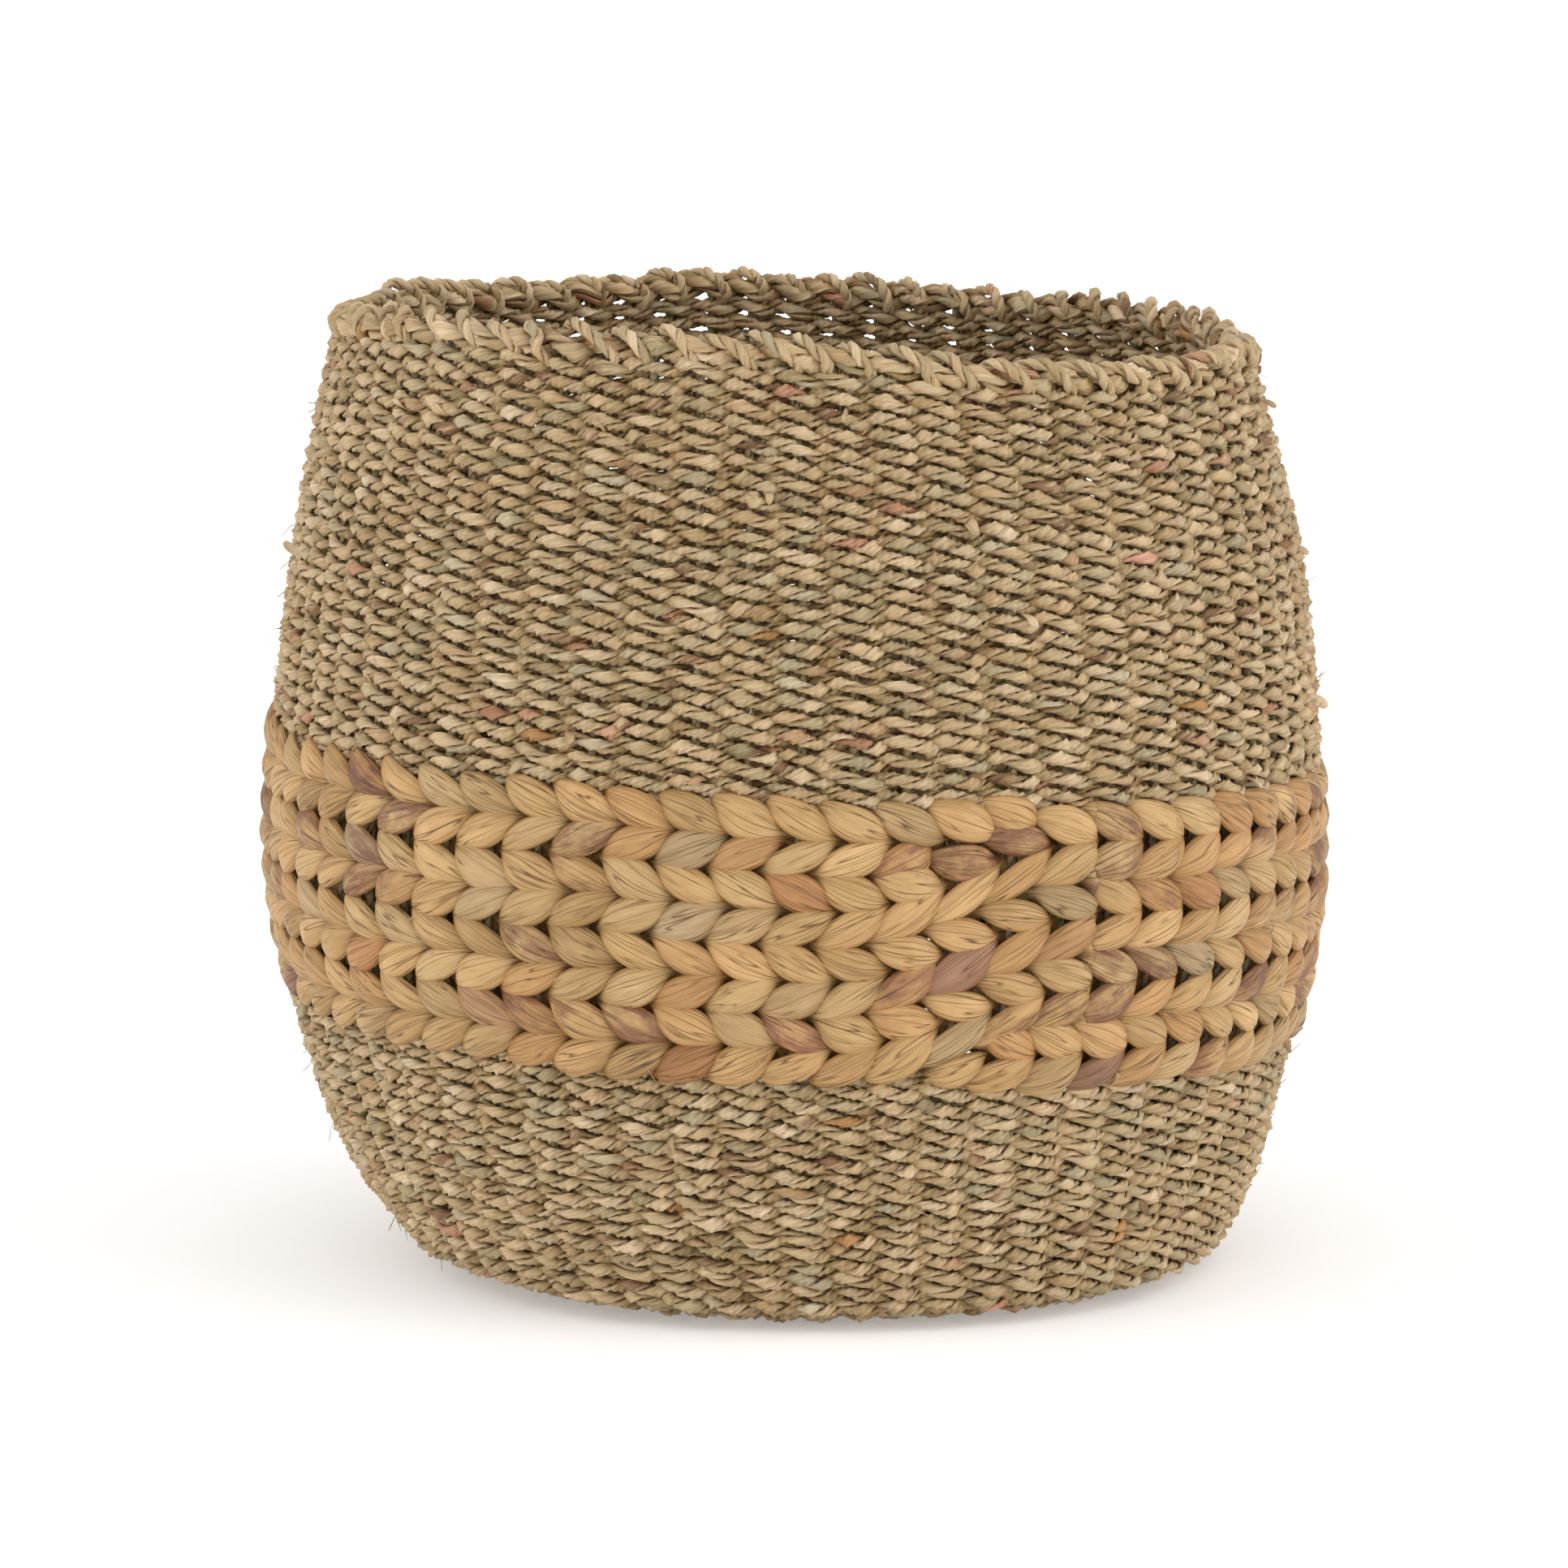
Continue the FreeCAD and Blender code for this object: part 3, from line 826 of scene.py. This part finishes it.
def makeRim():
    finishPiece(
        twinedRound(rng, borderRing, borderCord, -1), "rim_border_cords", grassLook, "seagrass", "rim_border"
    )
    strands = []
    for number in range(stakeCount):
        angle = fullTurn * number / stakeCount
        size = np.clip(rng.normal(1, 0.16, 3), 0.7, 1.3)
        points = []
        for along, out, up in loopCord["path"]:
            jitter = rng.normal(0, 0.55, 3)
            turn = angle + (along * size[0] + jitter[0]) * mm / borderRing["radius"]
            rise = up * (size[2] if up > 0 else 1) + jitter[2]
            points.append(onRing(borderRing, turn, (out * size[1] + jitter[1]) * mm, rise * mm))
        side = np.array([-math.sin(angle), math.cos(angle), 0.35])
        strands += openCord(rng, points, side, loopCord)
    finishPiece(strands, "rim_loops_cords", grassLook, "seagrass", "rim_loops")


makeRim()
print("rim bound off")

cutEnd = {
    "spacing": 1.5, "sides": 6, "plies": 1, "turnLength": 45, "core": 0, "wide": 1.9, "thick": 0.45,
    "scattered": 46, "reach": 6.8,
    # ends that stand out at the front: angle in degrees, height in metres
    "placed": [
        (-93.5, 0.286), (-71.5, 0.282), (-66, 0.250), (-58, 0.214), (-84, 0.318), (-104, 0.07), (-88, 0.05),
    ],
}


def nearestRing(rings, height):
    return min(rings, key=lambda ring: abs(ring["z"] - height))


def makeCutEnds():
    # where a cord gave out, its end was left standing between the rounds
    grassRings = lowerRings + upperRings
    places = [(math.radians(angle), height) for angle, height in cutEnd["placed"]]
    for number in range(cutEnd["scattered"]):
        places.append((rng.uniform(0, fullTurn), rng.uniform(0.02, 0.325)))
    strands = []
    for angle, height in places:
        ring = nearestRing(grassRings, height)
        drop = rng.choice([-1, 1]) * rng.uniform(2.5, 5.0)
        drift = rng.uniform(-4, 4) * mm / ring["radius"]
        reach = cutEnd["reach"] * rng.uniform(0.85, 1.15)
        rise = pitchOf(ring) / 2
        points = [
            onRing(ring, angle, 0.5 * mm, rise),
            onRing(ring, angle + drift * 0.4, reach * 0.6 * mm, rise + drop * 0.25 * mm),
            onRing(ring, angle + drift, reach * mm, rise + drop * mm),
        ]
        side = np.array([-math.sin(angle), math.cos(angle), rng.uniform(-0.4, 0.4)])
        strands += openCord(rng, points, side, dict(cutEnd, wide=rng.uniform(1.3, 2.2)))
    finishPiece(strands, "cut_ends", grassLook, "seagrass")


def pitchOf(ring):
    # the height of one round in this ring's part of the wall
    rings = lowerRings if ring in lowerRings else upperRings
    return rings[1]["z"] - rings[0]["z"]


looseFibre = {"spacing": 1.6, "sides": 3, "plies": 1, "turnLength": 90, "core": 0, "count": 300}


def makeLooseFibres():
    # fine hairs that have split from the leaves
    strands = []
    for number in range(looseFibre["count"]):
        ring = wallRings[int(rng.integers(0, len(wallRings)))]
        angle = rng.uniform(0, fullTurn)
        size = rng.uniform(4, 9)
        bend = rng.normal(0, 0.25, 4)
        turn = size * mm / ring["radius"]
        tip = rng.uniform(5, 9)
        points = [
            onRing(ring, angle, 3.5 * mm, bend[0] * 4 * mm),
            onRing(ring, angle + (0.4 + bend[1]) * turn, 5.3 * mm, bend[2] * 5 * mm),
            onRing(ring, angle + turn, tip * mm, (bend[2] + bend[3]) * 10 * mm),
        ]
        side = np.array([-math.sin(angle), math.cos(angle), 0.5])
        thin = rng.uniform(0.1, 0.2)
        strands += openCord(rng, points, side, dict(looseFibre, wide=thin, thick=thin))
    finishPiece(strands, "loose_fibres", grassLook, "seagrass")


edgeCord = dict(grassCord, out=1.5, cross=1.3, wide=2.0, thick=1.1, sides=5)


def makeBandEdges():
    # a thinner round along each edge of the band fills the notches beside the leaves
    edges = {"lower": (lowerRings[-1], bandRings[0]), "upper": (bandRings[-1], upperRings[0])}
    for name, (first, second) in edges.items():
        strands = twinedRound(rng, ringBetween(first, second), edgeCord, -1)
        finishPiece(strands, f"band_edge_{name}", grassLook, "seagrass")


makeBandEdges()
makeCutEnds()
makeLooseFibres()
print("loose ends added")

stage = {"floor": 60.0, "floorColor": (244, 244, 244), "glow": 0.27}
deselectAll()
bpy.ops.mesh.primitive_plane_add(size=stage["floor"], location=(0, 0, 0))
floor = bpy.context.object
floor.name = "floor"
floorLook = bpy.data.materials.new("paleFloor")
floorLook.use_nodes = True
floorShader = floorLook.node_tree.nodes["Principled BSDF"]
floorShader.inputs["Base Color"].default_value = paint(*stage["floorColor"])
floorShader.inputs["Roughness"].default_value = 0.9
floorShader.inputs["Specular IOR Level"].default_value = 0.1
floorShader.inputs["Emission Color"].default_value = (1, 1, 1, 1)
floorShader.inputs["Emission Strength"].default_value = stage["glow"]
floor.data.materials.append(floorLook)

# broad soft lights: where each comes from, how strong, and how wide it looks in degrees
lights = {
    "leftSoft": {"from": (-2.6, -0.8, 1.3), "strength": 1.0, "width": 60},
    "rightSoft": {"from": (2.6, -0.8, 1.3), "strength": 1.3, "width": 60},
    "topSoft": {"from": (0.0, 0.4, 2.6), "strength": 0.45, "width": 80},
    "frontSoft": {"from": (0.0, -2.6, 0.3), "strength": 0.65, "width": 80},
}
for name, lamp in lights.items():
    bpy.ops.object.light_add(type="SUN", location=lamp["from"])
    light = bpy.context.object
    light.name = name
    light.data.energy = lamp["strength"]
    light.data.angle = math.radians(lamp["width"])
    light.rotation_euler = (-Vector(lamp["from"])).to_track_quat("-Z", "Y").to_euler()
world = bpy.data.worlds.new("paleRoom")
world.use_nodes = True
worldTree = world.node_tree
background = worldTree.nodes["Background"]
background.inputs[0].default_value = (1, 1, 1, 1)
background.inputs[1].default_value = 0.58
bpy.context.scene.world = world
bpy.context.scene.view_settings.view_transform = "Standard"

view = {"at": (-0.003, -2.336, 0.488), "towards": (-0.003, 0.0, 0.170), "lens": 149}
bpy.ops.object.camera_add(location=view["at"])
camera = bpy.context.object
camera.name = "camera"
camera.data.lens = view["lens"]
camera.data.sensor_width = 36
camera.rotation_euler = (Vector(view["towards"]) - Vector(view["at"])).to_track_quat("-Z", "Y").to_euler()
bpy.context.scene.camera = camera
print("stage set")
